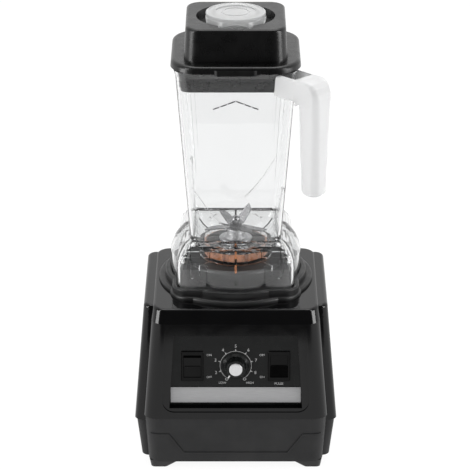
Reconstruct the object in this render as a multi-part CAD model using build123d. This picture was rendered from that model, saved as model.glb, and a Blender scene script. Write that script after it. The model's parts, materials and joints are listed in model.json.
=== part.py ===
from build123d import *
from math import atan2, cos, degrees, pi, radians, sin, sqrt, tan
import os

# A free-standing two-litre jar blender: motor base, square clear jar, rubber lid and cap.
# Frame: +Z up, front towards -Y, the drive axis is the Z axis, and z = 0 is the worktop.
# All sizes are in millimetres.

# ---------------------------------------------------------------- driving dimensions

# heights of the stack
FOOT_H = 10.0
SEAM_Z = 66.5
WING_Z = 57.0
BROW_Z = 178.0
DECK_Z = 194.0
SEAT_Z = 204.0
RIM_Z = 460.0
LID_TOP_Z = 505.0
CAP_TOP_Z = 510.0

# motor base, plan sizes at its levels
WALL = 3.0
DECK_THICK = 4.0
TRAY_FOOT = dict(half=99.0, front=-108.0, back=106.0, r=14.0)
TRAY_SEAM = dict(half=102.8, front=-111.8, back=108.8, r=15.0)
HOUSING_SEAM = dict(half=104.0, front=-113.0, back=110.0, r=16.0)
HOUSING_BROW = dict(half=94.5, front=-101.0, back=86.5, r=16.0)
DECK_PLAN = dict(half=92.5, front=-96.0, back=82.5, r=16.0)
SIDE_FOOT = dict(half=107.0, front=-92.0, back=92.0, r=9.0)
SIDE_SEAM = dict(half=112.5, front=-94.0, back=95.0, r=9.0)
WING_LOW = dict(half=114.5, front=-96.0, back=97.0, r=10.0)
WING_HIGH = dict(half=103.0, front=-80.0, back=77.0, r=10.0)
WING_TOP_Z = 192.0
DECK_EDGE_R = 3.5
WING_EDGE_R = 4.0

# where the base's fasteners and small fittings stand
SCREW_SPOTS = [(-84, -78), (84, -78), (-84, 78), (84, 78)]
FOOT_SPOTS = [(-84, -88), (84, -88), (-84, 88), (84, 88)]
BRACKET_SPOTS = [(-50, -50), (50, -50), (-50, 50), (50, 50)]
BRACKET_TOP = 184.0
BREAKER_SPOT = (78, 36)
BOARD_Z = 72.0

# control panel: a slightly tilted plate in a pocket of the front wall
PANEL_Z = 120.9
PANEL_TILT = 3.0
PANEL_Y = -100.2
PANEL_HALF_H = 42.5
PANEL_HALF_TOP = 69.0
PANEL_HALF_LOW = 74.4
PANEL_THICK = 3.0
CONTROL_ROW = 5.6
SWITCH_X = 48.6
PLATE_LOW = -38.5
PLATE_TOP = -20.1
PLATE_WIDTH = 146.4
PLATE_THICK = 0.8
GAP = 0.25

# rocker switches
BEZEL_W, BEZEL_H, BEZEL_T = 25.0, 36.0, 1.8
ROCKER_W, ROCKER_H = 19.2, 24.6
ROCKER_TILT = 8.0
ROCKER_PIVOT = -3.0

# mains lead entry in the tray's back wall
GLAND_Z = 38.0
GLAND_R = 7.0
GLAND_END_Y = 113.0
GLAND_LENGTH = 15.6
CORD_HOLE_R = 3.8

# speed knob and its potentiometer
DIAL_HALF_GAP = 32.0
KNOB_R, KNOB_H = 12.0, 11.0
SKIRT_R = 15.2
KNOB_CAP_R = 7.4
POT_SHAFT_R = 3.0
POT_R = 12.0

# jar seat pad
PAD_R, PAD_HALF, PAD_CORNER = 88.0, 74.0, 26.0
PAD_TOP_R, PAD_TOP_HALF, PAD_TOP_CORNER = 80.5, 71.5, 20.0
PAD_RIM_Z = 206.5
PAD_BACK_Y = 78.5
DRUM_R, DRUM_Z = 57.0, 222.0
WELL_R = 37.0

# drive line
SHAFT_R = 5.0
SOCKET_R = 14.0
HEX_AF = 9.0
HEX_GAP = 0.12
ARMATURE_R = 27.0
STATOR_R = 50.0
FAN_R = 46.0

# jar
JAR_WALL = 3.0
JAR_HALF_RIM, JAR_HALF_LOW = 66.4, 51.4
JAR_LOW_Z = 262.0
JAR_R_RIM, JAR_R_LOW = 16.0, 12.0
FLOOR_Z = 240.0
FLOOR_THICK = 4.5
FLOOR_HALF, FLOOR_R = 30.0, 18.0
BOWL_STEPS = 5
SKIRT_LOBE_R, SKIRT_HALF, SKIRT_CORNER = 74.0, 66.0, 11.0
SKIRT_SHOULDER_Z = 229.0
SHOULDER_STEPS = 6
LOBE_SHOULDER_Z = 231.0

# handle, laid out along the jar's front right diagonal
GRIP_D = 119.8
ROOT_Z = 445.5
BEND_R = 16.0
BEND_STEPS = 9
HANDLE_POCKET_HALF = 13.2
GRIP_END_Z = 326.0
GRIP_TIP_R, GRIP_TIP_ROUND = 13.9, 9.5

# blade set
SPINDLE_R = 4.0
SPINDLE_TOP = 259.5
RUNNING = 0.05
HUB_R = 9.5
HUB_FLANGE_R = 19.0
HUB_BORE_R = 12.0
NUT_R = 37.0
NUT_TOP_Z = 234.5

# lid and cap
FLANGE_HALF, FLANGE_R = 71.8, 34.0
FLANGE_Z = 468.0
BLOCK_LOW, BLOCK_TOP, BLOCK_R = 56.8, 54.5, 17.0
PLUG_Z = 436.5
PLUG_GAP = 1.4
DISH_R, DISH_Z = 43.5, 496.0
HOLE_R = 27.0
CAP_R, CUP_R = 33.0, 26.4
CUP_LOW_Z, CUP_DEPTH = 470.0, 35.0
CAP_RING_R = 22.0

BASE = (Align.CENTER, Align.CENTER, Align.MIN)
HANGING = (Align.CENTER, Align.CENTER, Align.MAX)
parts = {}


# ---------------------------------------------------------------- shared shapes


def plan(z, half, front, back, r, grow=0.0):
    """A rounded rectangle at height z, grown outwards by grow."""
    depth = back - front + 2 * grow
    sketch = RectangleRounded(2 * (half + grow), depth, max(r + grow, 1.0))
    return Pos(0, (front + back) / 2, z) * sketch


def square(z, half, r, grow=0.0):
    """A centred rounded square at height z."""
    return Pos(0, 0, z) * RectangleRounded(2 * (half + grow), 2 * (half + grow), r + grow)


def between(low, high):
    """A straight loft from one plan to another."""
    return loft([low, high], ruled=True)


def tube(r_out, r_in, z0, z1):
    ring = Circle(r_out) - Circle(r_in) if r_in else Circle(r_out)
    return extrude(Pos(0, 0, z0) * ring, z1 - z0)


def disc(r, z0, z1):
    return tube(r, 0, z0, z1)


def block(x0, x1, y0, y1, z0, z1):
    return Pos((x0 + x1) / 2, (y0 + y1) / 2, (z0 + z1) / 2) * Box(x1 - x0, y1 - y0, z1 - z0)


def turned(points):
    """A solid of revolution about Z from (radius, z) points."""
    face = make_face(Polyline([(r, 0, z) for r, z in points] + [(points[0][0], 0, points[0][1])]))
    return revolve(face, Axis.Z, 360)


def lobed(z, lobe_r, half, corner, height):
    """An upright prism whose outline is a rounded square with a round lobe on each side."""
    outline = Circle(lobe_r) + RectangleRounded(2 * half, 2 * half, corner)
    return extrude(Pos(0, 0, z) * outline, height)


def around(count, shape, first=0.0):
    """Copies of a shape turned about the Z axis."""
    return [Rot(0, 0, first + i * 360 / count) * shape for i in range(count)]


def joined(shapes):
    result = shapes[0]
    for shape in shapes[1:]:
        result = result + shape
    return result


def top_edges(solid, z, tol=0.5):
    return solid.edges().filter_by_position(Axis.Z, z - tol, z + tol)


def panel_frame():
    """The control panel's own frame: x to the right, y up the panel, z outwards."""
    t = radians(PANEL_TILT)
    return Plane(origin=(0, PANEL_Y, PANEL_Z), x_dir=(1, 0, 0), z_dir=(0, -cos(t), sin(t)))


def on_panel(shape):
    return panel_frame().location * shape


def trapezoid(y0, y1, grow=0.0):
    """The panel's trapezoid between two heights of its own frame."""

    def half_at(y):
        share = (y + PANEL_HALF_H) / (2 * PANEL_HALF_H)
        return PANEL_HALF_LOW + share * (PANEL_HALF_TOP - PANEL_HALF_LOW) + grow

    a, b = y0 - grow, y1 + grow
    points = [(-half_at(y0), a), (half_at(y0), a), (half_at(y1), b), (-half_at(y1), b)]
    return make_face(Polyline(points + [points[0]]))


# ---------------------------------------------------------------- motor base casing


def tray_outer(grow=0.0):
    front = between(plan(FOOT_H, **TRAY_FOOT, grow=grow), plan(SEAM_Z, **TRAY_SEAM, grow=grow))
    sides = between(plan(FOOT_H, **SIDE_FOOT, grow=grow), plan(WING_Z, **SIDE_SEAM, grow=grow))
    return front + sides


def tray_bead():
    """The raised styling line across the front of the tray."""
    line = [(-96, 45.5), (-76, 45.5), (-59, 21.5), (59, 21.5), (76, 45.5), (96, 45.5)]
    width = 2.0
    ribbon = Sketch()
    for (x0, z0), (x1, z1) in zip(line, line[1:]):
        run = sqrt((x1 - x0) ** 2 + (z1 - z0) ** 2)
        turn = degrees(atan2(z1 - z0, x1 - x0))
        ribbon += Pos((x0 + x1) / 2, (z0 + z1) / 2) * Rot(0, 0, turn) * Rectangle(run, width)
    for x, z in line:
        ribbon += Pos(x, z) * Circle(width / 2)
    return extrude(Plane.XZ.offset(100) * ribbon, 20) & tray_outer(0.9)


def vent_slots():
    """Rows of air slots through the tray floor, either side of the fan."""
    slot = Box(26, 3.2, 12)
    rows = [Pos(x, y, FOOT_H + 2) * slot for x in (-32, 0, 32) for y in range(-28, 29, 8)]
    return rows


def lower_tray():
    tray = tray_outer() + tray_bead()
    core = between(
        plan(FOOT_H + 3, **TRAY_FOOT, grow=-WALL), plan(SEAM_Z + 1, **TRAY_SEAM, grow=-WALL)
    )
    sides = between(
        plan(FOOT_H + 3, **SIDE_FOOT, grow=-WALL), plan(WING_Z + 1, **SIDE_SEAM, grow=-WALL)
    )
    tray -= core + sides
    for slot in vent_slots():
        tray -= slot
    for x, y in SCREW_SPOTS:
        tray += Pos(x, y) * tube(6.0, 0, FOOT_H + 2, WING_Z - 2)
        tray -= Pos(x, y) * disc(2.2, FOOT_H - 1, WING_Z)
        tray -= Pos(x, y) * disc(4.2, FOOT_H - 1, FOOT_H + 6)
    for x, y in FOOT_SPOTS:
        tray -= Pos(x, y) * disc(2.1, FOOT_H - 1, FOOT_H + 4)
    for x in (-38, 38):
        tray += block(x - 4, x + 4, -84, -78, FOOT_H + 2, BOARD_Z)
    tray -= Pos(0, TRAY_FOOT["back"], GLAND_Z) * Rot(90, 0, 0) * Cylinder(GLAND_R, 30)
    tray -= Pos(*BREAKER_SPOT, FOOT_H) * Cylinder(8.2, 10)
    return tray


def housing_outer():
    levels = [plan(SEAM_Z, **HOUSING_SEAM), plan(BROW_Z, **HOUSING_BROW), plan(DECK_Z, **DECK_PLAN)]
    core = loft(levels, ruled=True)
    core = fillet(top_edges(core, DECK_Z), DECK_EDGE_R)
    wings = between(plan(WING_Z, **WING_LOW), plan(WING_TOP_Z, **WING_HIGH))
    wings = fillet(top_edges(wings, WING_TOP_Z), WING_EDGE_R)
    return core + wings


def housing_inner():
    levels = [
        plan(SEAM_Z - 1, **HOUSING_SEAM, grow=-WALL),
        plan(BROW_Z - 1, **HOUSING_BROW, grow=-WALL),
        plan(DECK_Z - DECK_THICK, **DECK_PLAN, grow=-WALL),
    ]
    core = loft(levels, ruled=True)
    core = fillet(top_edges(core, DECK_Z - DECK_THICK), DECK_EDGE_R - 1.5)
    wings = between(
        plan(WING_Z - 1, **WING_LOW, grow=-WALL), plan(WING_TOP_Z - DECK_THICK, **WING_HIGH, grow=-WALL)
    )
    wings = fillet(top_edges(wings, WING_TOP_Z - DECK_THICK), WING_EDGE_R - 1.5)
    lip = extrude(plan(WING_Z - 1, **SIDE_SEAM, grow=0.2), SEAM_Z - WING_Z + 1)
    tray_front = between(plan(FOOT_H, **TRAY_FOOT), plan(SEAM_Z, **TRAY_SEAM))
    return core + wings + lip + tray_front


def console_recess():
    """The shallow rounded recess that frames the control panel, cut to follow the sloping front."""
    top, low = PANEL_HALF_H + 13.1, -PANEL_HALF_H - 4.4
    points = [(-83, low), (83, low), (78, top), (-78, top)]
    outline = make_face(Polyline(points + [points[0]]))
    outline = fillet(outline.vertices(), 13)
    slope = atan2(HOUSING_BROW["front"] - HOUSING_SEAM["front"], BROW_Z - SEAM_Z)
    rise = PANEL_Z - SEAM_Z
    face_y = HOUSING_SEAM["front"] + rise * tan(slope)
    frame = Plane(origin=(0, face_y, PANEL_Z), x_dir=(1, 0, 0), z_dir=(0, -cos(slope), sin(slope)))
    return frame.location * extrude(Pos(0, 0, -1.6) * outline, 10)


def upper_housing():
    shell = housing_outer() - housing_inner()
    pocket_wall = on_panel(extrude(Pos(0, 0, -6) * trapezoid(-PANEL_HALF_H, PANEL_HALF_H, 4.0), 18))
    shell += pocket_wall & housing_outer()
    shell -= console_recess()
    shell -= on_panel(extrude(Pos(0, 0, -PANEL_THICK) * trapezoid(-PANEL_HALF_H, PANEL_HALF_H, GAP), 30))
    shell -= on_panel(extrude(Pos(0, 0, -20) * trapezoid(-PANEL_HALF_H + 4, PANEL_HALF_H - 4, -4.0), 30))
    shell -= disc(WELL_R, DECK_Z - DECK_THICK - 1, DECK_Z + 1)
    for x, y in BRACKET_SPOTS:
        shell += Pos(x, y) * tube(6.0, 0, BRACKET_TOP, DECK_Z - DECK_THICK + 0.5)
        shell -= Pos(x, y) * disc(2.0, BRACKET_TOP - 1, DECK_Z - 1.5)
    for x, y in SCREW_SPOTS:
        shell += Pos(x, y) * tube(6.0, 0, WING_Z - 2, DECK_Z - DECK_THICK + 0.5)
        shell -= Pos(x, y) * disc(1.9, WING_Z - 3, WING_Z + 24)
    return shell


def jar_pad():
    """The rubber seat: a lobed plate with a shallow tray for the jar's skirt and a raised drum."""
    plate = lobed(DECK_Z, PAD_R, PAD_HALF, PAD_CORNER, 5.0)
    plate = fillet(top_edges(plate, DECK_Z + 5), 3.5)
    seat = lobed(DECK_Z + 3, PAD_TOP_R, PAD_TOP_HALF, PAD_TOP_CORNER, PAD_RIM_Z - DECK_Z - 3)
    seat = fillet(top_edges(seat, PAD_RIM_Z), 2.2)
    pad = plate + seat
    pad -= lobed(SEAT_Z, SKIRT_LOBE_R + 1.2, SKIRT_HALF + 1.2, SKIRT_CORNER + 1, 10)
    drum = disc(DRUM_R, SEAT_Z - 1, DRUM_Z)
    pad += fillet(top_edges(drum, DRUM_Z), 4.0)
    pad -= disc(WELL_R - 2.0, DECK_Z - 1, DRUM_Z + 1)
    return pad - block(-100, 100, PAD_BACK_Y, 100, DECK_Z - 1, DRUM_Z)


# ---------------------------------------------------------------- control panel


def control_panel():
    plate = extrude(Pos(0, 0, -PANEL_THICK) * trapezoid(-PANEL_HALF_H, PANEL_HALF_H), PANEL_THICK)
    plate -= Pos(0, CONTROL_ROW, 0) * Cylinder(POT_SHAFT_R + 0.8, 20)
    for x in (-SWITCH_X, SWITCH_X):
        plate -= Pos(x, CONTROL_ROW, 0) * Box(BEZEL_W - 3 + 2 * GAP, BEZEL_H - 3 + 2 * GAP, 20)
    return on_panel(plate)


def nameplate():
    strip = extrude(trapezoid(PLATE_LOW, PLATE_TOP, 0) & Rectangle(PLATE_WIDTH, 100), PLATE_THICK)
    return on_panel(strip)


def switch_body():
    """A rocker switch case with its bezel, in the panel's frame, centred on its own axis."""
    case = Box(BEZEL_W - 3, BEZEL_H - 3, 24, align=HANGING)
    bezel = extrude(RectangleRounded(BEZEL_W, BEZEL_H, 1.5), BEZEL_T)
    bezel = chamfer(top_edges(bezel, BEZEL_T), 0.6)
    half_w, half_h = ROCKER_W / 2 + 0.4, ROCKER_H / 2 + 1.1
    window = block(-half_w, half_w, -half_h, half_h, -11, 5)
    body = case + bezel - window
    for side in (-1, 1):
        body += Pos(side * (ROCKER_W / 2 + 0.4), 0, ROCKER_PIVOT) * Rot(0, 90, 0) * Cylinder(1.4, 1.6)
    for x in (-6, 0, 6):
        body += Pos(x, 0, -27.5) * Box(0.8, 6.3, 8)
    return body


def rocker(rest_tilt):
    """A rocker with a shallow valley across its pivot, turned to its rest tilt."""
    half = ROCKER_H / 2
    profile = [(-half, 2.6), (-half, -3.5), (-5.5, -7.5), (5.5, -7.5), (half, -3.5), (half, 2.6), (0, 0.9)]
    face = make_face(Polyline([(0, y, z) for y, z in profile + [profile[0]]]))
    body = extrude(face, ROCKER_W / 2, both=True)
    ridge = Pos(0, 0, 1.2) * Box(ROCKER_W - 2, 1.2, 0.9)
    body += ridge
    for side in (-1, 1):
        body -= Pos(side * ROCKER_W / 2, 0, ROCKER_PIVOT) * Rot(0, 90, 0) * Cylinder(1.6, 2.4)
    return Pos(0, 0, ROCKER_PIVOT) * Rot(rest_tilt, 0, 0) * Pos(0, 0, -ROCKER_PIVOT) * body


def at_switch(x, shape):
    return on_panel(Pos(x, CONTROL_ROW, 0) * shape)


def at_knob(shape):
    return on_panel(Pos(0, CONTROL_ROW, 0) * shape)


def speed_knob():
    """The knob with its dished skirt, a pointer ridge and a bore for the shaft."""
    skirt = Pos(0, 0, 0.5) * Cone(SKIRT_R, KNOB_R + 0.6, 3.0, align=BASE)
    body = Pos(0, 0, 3.0) * Cone(KNOB_R, KNOB_R - 2.0, KNOB_H - 3.0, align=BASE)
    knob = skirt + body
    knob = fillet(top_edges(knob, KNOB_H), 0.8)
    for flute in around(18, Pos(KNOB_R + 0.4, 0, KNOB_H / 2 + 3) * Cylinder(1.0, KNOB_H)):
        knob -= flute
    knob -= Pos(0, 0, KNOB_H - 1.0) * Cylinder(KNOB_CAP_R, 4, align=BASE)
    knob -= Pos(0, 0, 0) * Cylinder(POT_SHAFT_R, KNOB_H - 4, align=BASE)
    return knob


def knob_cap():
    cap = Pos(0, 0, KNOB_H - 1.0) * Cylinder(KNOB_CAP_R, 2.2, align=BASE)
    return fillet(top_edges(cap, KNOB_H + 1.2), 0.7)


def knob_pointer():
    """The white index bar on the knob's skirt, pointing at the lowest setting."""
    bar = Pos(0, -(KNOB_R + SKIRT_R) / 2 + 0.2, 3.1) * Box(1.4, SKIRT_R - KNOB_R + 1.5, 1.3)
    return Rot(0, 0, -DIAL_HALF_GAP) * bar


def pot_shaft():
    return Pos(0, 0, -11) * Cylinder(POT_SHAFT_R - 0.03, KNOB_H + 6.5, align=BASE)


def potentiometer():
    can = Pos(0, 0, -20) * Cylinder(POT_R, 10, align=BASE)
    bush = Pos(0, 0, -10) * Cylinder(3.7, 6.8, align=BASE)
    nut = Pos(0, 0, -5.4) * extrude(RegularPolygon(5.5, 6), 2.4)
    body = can + bush + nut
    body -= Pos(0, 0, -11.2) * Cylinder(POT_SHAFT_R + 0.03, 20, align=BASE)
    for x in (-4, 0, 4):
        body += Pos(x, -POT_R - 2, -15) * Box(1.2, 6, 0.8)
    return body


# ---------------------------------------------------------------- motor and drive


def motor_shaft():
    shaft = disc(SHAFT_R, 66, 200)
    return chamfer(shaft.edges().filter_by(GeomType.CIRCLE), 0.6)


def drive_socket():
    """The coupling on the motor shaft, open at the top for the blade shaft's hexagon."""
    socket = disc(SOCKET_R, 196, 218)
    socket = fillet(top_edges(socket, 218), 1.5)
    socket -= disc(SHAFT_R, 195, 200)
    hexagon = RegularPolygon(HEX_AF / 2 + HEX_GAP, 6, major_radius=False)
    socket -= extrude(Pos(0, 0, 202) * hexagon, 20)
    for lobe in around(6, Pos(SOCKET_R + 1.2, 0, 208) * Cylinder(2.6, 30), 30):
        socket -= lobe
    return socket


def armature():
    core = disc(ARMATURE_R, 112, 158)
    for slot in around(12, Pos(ARMATURE_R - 4, 0, 135) * Box(9, 2.4, 60)):
        core -= slot
    windings = tube(ARMATURE_R - 3, SHAFT_R, 158, 167) + tube(ARMATURE_R - 3, SHAFT_R, 103, 112)
    return core + windings - disc(SHAFT_R, 90, 180)


def commutator():
    ring = tube(14.0, SHAFT_R, 88, 103)
    for slot in around(24, Pos(14, 0, 94) * Box(1.6, 0.7, 12)):
        ring -= slot
    return ring


def cooling_fan():
    """A centrifugal fan: a back plate, a hub and swept blades."""
    plate = tube(FAN_R, SHAFT_R, 70, 72)
    hub = tube(11, SHAFT_R, 66, 77)
    blade = Pos(29, 0, 67) * Rot(0, 0, 24) * Box(34, 1.6, 8)
    fan = plate + hub
    for one in around(11, blade):
        fan += one
    return fan & disc(FAN_R, 62, 80)


def bearing(r_in, r_out, z0, z1):
    """A ball bearing: two rings and the balls between them, joined by their cage."""
    mid = (r_in + r_out) / 2
    inner = tube(mid - 1.6, r_in, z0, z1)
    outer = tube(r_out, mid + 1.6, z0, z1)
    cage = tube(mid + 1.7, mid - 1.7, (z0 + z1) / 2 - 1.2, (z0 + z1) / 2 + 1.2)
    return inner + outer + cage


def motor_stator():
    """The field core: a round lamination stack with two pole pieces and flats."""
    stack = tube(STATOR_R, 40, 110, 160)
    pole = Pos(35, 0, 135) * Box(14, 34, 50)
    for one in around(2, pole):
        stack += one
    stack -= disc(ARMATURE_R + 1.0, 100, 170)
    for bolt in around(2, Pos(0, 45, 135) * Cylinder(2.6, 80)):
        stack -= bolt
    return stack


def field_coils():
    """The two copper field coils around the pole pieces."""
    coil = fillet(Box(5, 44, 66).edges().filter_by(Axis.X), 3.0) - Box(20, 35, 51)
    spot = Pos(36.5, 0, 135) * coil
    coils = around(2, spot)
    keep = disc(39.6, 90, 180) - disc(ARMATURE_R + 1.5, 90, 180)
    return [coil & keep for coil in coils]


def motor_top_bracket():
    """The cast plate that carries the upper bearing and hangs the motor from the deck."""
    plate = disc(STATOR_R + 2, 170, 176)
    for x, y in BRACKET_SPOTS:
        plate += Pos(x, y) * disc(7.5, 170, 176)
        arm = sqrt(x * x + y * y)
        plate += Rot(0, 0, degrees(atan2(y, x))) * block(20, arm, -6, 6, 170, 176)
    plate += tube(20, 0, 168, 184)
    plate -= disc(15.0, 173, 185)
    plate -= disc(7.5, 160, 180)
    wall = tube(STATOR_R + 2, STATOR_R, 150, 171)
    plate += wall
    for x, y in BRACKET_SPOTS:
        plate -= Pos(x, y) * disc(2.6, 160, 180)
    for window in around(4, Pos(0, 36, 173) * Box(22, 12, 12)):
        plate -= window
    for bolt in around(2, Pos(0, 45, 172) * Cylinder(2.2, 10)):
        plate -= bolt
    return plate


def motor_bottom_bracket():
    """The bar under the stator that carries the lower bearing and the brushes."""
    bar = block(-13, 13, -50, 50, 80, 86) + tube(17, 0, 78, 88)
    for side in (-1, 1):
        post = block(-8, 8, -5, 5, 84, 110)
        bar += Pos(0, side * 45, 0) * post
    bar -= disc(11.0, 80, 90)
    bar -= disc(6.5, 70, 90)
    for bolt in around(2, Pos(0, 45, 95) * Cylinder(2.2, 60)):
        bar -= bolt
    return bar


def through_bolts():
    """The two long bolts that clamp bracket, stator and top plate together."""
    bolt = Pos(0, 45, 0) * (disc(2.0, 78, 178) + disc(4.0, 76, 79.9) + disc(4.2, 176.1, 180))
    return around(2, bolt)


def brush_holders():
    """The two carbon brush holders, one each side of the commutator."""
    holder = block(17.2, 34, -4.5, 4.5, 86, 100)
    brush = block(14.3, 17.2, -3.2, 3.2, 92, 99)
    return around(2, holder + brush, 90)


def fan_shroud():
    """The air duct round the fan, open below over the floor slots."""
    return tube(56, 53, 14, 78) + tube(56, 50, 76, 78)


def mount_screws():
    """The four screws that hang the motor from the deck."""
    screws = []
    for x, y in BRACKET_SPOTS:
        screws.append(Pos(x, y) * (disc(1.9, 166, DECK_Z - 2) + disc(4.4, 166.5, 169.9)))
    return screws


def bracket_grommets():
    """Rubber grommets between the motor bracket and the deck's posts."""
    return [Pos(x, y) * tube(6.5, 2.3, 176, BRACKET_TOP) for x, y in BRACKET_SPOTS]


# ---------------------------------------------------------------- electrics and fasteners


def speed_board():
    board = block(-44, 44, -82, -80.4, BOARD_Z, 106)
    board += block(-36, -22, -80.5, -72, 78, 98)
    board += Pos(-6, -75, 88) * Rot(90, 0, 0) * Cylinder(7, 11)
    board += block(8, 16, -80.5, -74, 76, 92)
    return board


def heat_sink():
    """The finned plate behind the speed board's power switch."""
    sink = block(20, 42, -80.4, -77.4, 74, 104)
    for i in range(6):
        sink += block(20 + i * 4, 22 + i * 4, -78, -66, 74, 104)
    return sink


def circuit_breaker():
    case = disc(8.0, FOOT_H + 0.5, FOOT_H + 6) + block(-11, 11, -9, 9, FOOT_H + 3, FOOT_H + 32)
    return Pos(*BREAKER_SPOT) * (case - disc(4.6, FOOT_H - 1, FOOT_H + 16))


def reset_button():
    """The push button of the overload breaker, reached from below."""
    button = Pos(*BREAKER_SPOT) * disc(4.3, FOOT_H - 2.5, FOOT_H + 11)
    return fillet(top_edges(button, FOOT_H - 2.5), 0.8)


def cord_gland():
    """The mains lead's bush in the back wall, flanged against the wall's outside."""
    bush_at = Pos(0, GLAND_END_Y - GLAND_LENGTH / 2, GLAND_Z) * Rot(90, 0, 0)
    bush = bush_at * Cylinder(GLAND_R - 0.1, GLAND_LENGTH)
    flange = Pos(0, GLAND_END_Y - 4.3, GLAND_Z) * Rot(90, 0, 0) * Cylinder(9.5, 4.6)
    gland = bush + flange - tray_wall_block()
    return gland - Pos(0, GLAND_END_Y, GLAND_Z) * Rot(90, 0, 0) * Cylinder(CORD_HOLE_R, 60)


def tray_wall_block():
    """The tray's own back wall, which the gland's flange must not enter."""
    core = between(
        plan(FOOT_H + 3, **TRAY_FOOT, grow=-WALL), plan(SEAM_Z + 1, **TRAY_SEAM, grow=-WALL)
    )
    hole = Pos(0, TRAY_FOOT["back"], GLAND_Z) * Rot(90, 0, 0) * Cylinder(GLAND_R, 30)
    return tray_outer() - core - hole


def rubber_foot(x, y):
    """A moulded foot: full size under the tray and smaller on the worktop."""
    side = 1 if x > 0 else -1
    end = 1 if y > 0 else -1
    top = Pos(x - side * 4.0, y, FOOT_H) * RectangleRounded(36, 34, 5)
    low = Pos(x + side * 2.5, y - end * 0.5, 0) * RectangleRounded(20, 28, 5)
    foot = between(low, top)
    foot = foot - Pos(x, y) * disc(4.6, -1, 4)
    foot -= Pos(x, y) * disc(2.2, 0, FOOT_H + 1)
    return foot


def foot_screws():
    screws = []
    for x, y in FOOT_SPOTS:
        screws.append(Pos(x, y) * (disc(2.0, 3, FOOT_H + 9) + disc(4.2, 1.2, 4.0)))
    return screws


def housing_screws():
    screws = []
    for x, y in SCREW_SPOTS:
        screw = disc(1.85, FOOT_H + 3, WING_Z + 18) + disc(4.0, FOOT_H + 2.5, FOOT_H + 6)
        screws.append(Pos(x, y) * screw)
    return screws


# ---------------------------------------------------------------- jar


def jar_half(z):
    """The jar's outer half width at a height."""
    share = (z - JAR_LOW_Z) / (RIM_Z - JAR_LOW_Z)
    return JAR_HALF_LOW + share * (JAR_HALF_RIM - JAR_HALF_LOW)


def jar_radius(z):
    share = (z - JAR_LOW_Z) / (RIM_Z - JAR_LOW_Z)
    return JAR_R_LOW + share * (JAR_R_RIM - JAR_R_LOW)


def jar_wall_solid(z0, z1, inset=0.0):
    low = square(z0, jar_half(z0) - inset, jar_radius(z0) - inset)
    high = square(z1, jar_half(z1) - inset, jar_radius(z1) - inset)
    return between(low, high)


def bowl(inset):
    """The rounded bottom of the drinking space: its walls curve in to a small flat floor."""
    wide = JAR_HALF_LOW - JAR_WALL + inset - FLOOR_HALF
    drop = JAR_LOW_Z - FLOOR_Z + inset * 1.5
    corner = JAR_R_LOW - JAR_WALL + inset + 1
    sections = []
    for i in range(BOWL_STEPS + 1):
        t = pi / 2 * i / BOWL_STEPS
        r = corner + (FLOOR_R - corner) * i / BOWL_STEPS
        sections.append(square(JAR_LOW_Z - drop * sin(t), FLOOR_HALF + wide * cos(t), r))
    return loft(sections, ruled=True)


def lobe_dome(inset=0.0):
    """The round part of the skirt, with a curved shoulder up to the jar's wall."""
    r, shoulder, top = SKIRT_LOBE_R - inset, LOBE_SHOULDER_Z - inset * 0.4, JAR_LOW_Z - 4.5
    base = SEAT_Z - (0.0 if not inset else 1.0)
    neck = JAR_HALF_LOW - 4.0 - inset
    side = Line((r, base), (r, shoulder))
    curve = ThreePointArc((r, shoulder), (r - 7.5, shoulder + 15.5), (neck, top))
    profile = make_face(
        side + curve + Line((neck, top), (0, top)) + Line((0, top), (0, base)) + Line((0, base), (r, base))
    )
    return revolve(Plane.XZ * profile, Axis.Z, 360)


def corner_skirt(inset=0.0):
    """The square part of the skirt, curving in from its four corners to the jar's wall."""
    base = SEAT_Z - (0.0 if not inset else 1.0)
    shoulder = SKIRT_SHOULDER_Z - inset * 0.6
    top = JAR_LOW_Z - 4 - inset * 0.8
    half, r = SKIRT_HALF - inset, SKIRT_CORNER - inset * 0.8
    neck, neck_r = jar_half(JAR_LOW_Z - 4) - inset - 2.5, JAR_R_LOW - inset * 0.8 - 2.5
    sections = [square(base, half, r), square(shoulder, half, r)]
    for i in range(1, SHOULDER_STEPS + 1):
        t = pi / 2 * i / SHOULDER_STEPS
        z = shoulder + (top - shoulder) * sin(t)
        corner = r + (neck_r - r) * i / SHOULDER_STEPS
        sections.append(square(z, neck + (half - neck) * cos(t), corner))
    return loft(sections, ruled=True)


def skirt_ribs():
    """Eight radial ribs that tie the skirt to the bowl."""
    rib = block(40, 71.5, -1.1, 1.1, 212, 256)
    return around(8, rib)


def swirl_rib(side):
    """One raised rib on a wall's inner face, running down from a corner to the middle."""
    a = ThreePointArc((10.0, 272.0), (29.0, 293.5), (47.0, 322.0))
    b = ThreePointArc((11.5, 270.5), (30.5, 292.0), (48.5, 321.8))
    ribbon = make_face(a + b + Line(a @ 0, b @ 0) + Line(a @ 1, b @ 1))
    raised = extrude(Plane.XZ * ribbon, -80)
    skin = jar_wall_solid(266, 330, JAR_WALL - 0.5) - jar_wall_solid(266, 330, JAR_WALL + 1.1)
    return Rot(0, 0, side * 90) * (raised & skin)


def chevron():
    """A moulded fill mark on the front wall."""
    mark = Sketch()
    for side in (-1, 1):
        mark += Pos(side * 12.5, 422.5) * Rot(0, 0, -side * 22) * Rectangle(27, 1.2)
    raised = extrude(Plane.XZ * mark, 80)
    skin = jar_wall_solid(410, 435, -0.7) - jar_wall_solid(410, 435, JAR_WALL - 0.5)
    return raised & skin


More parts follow.
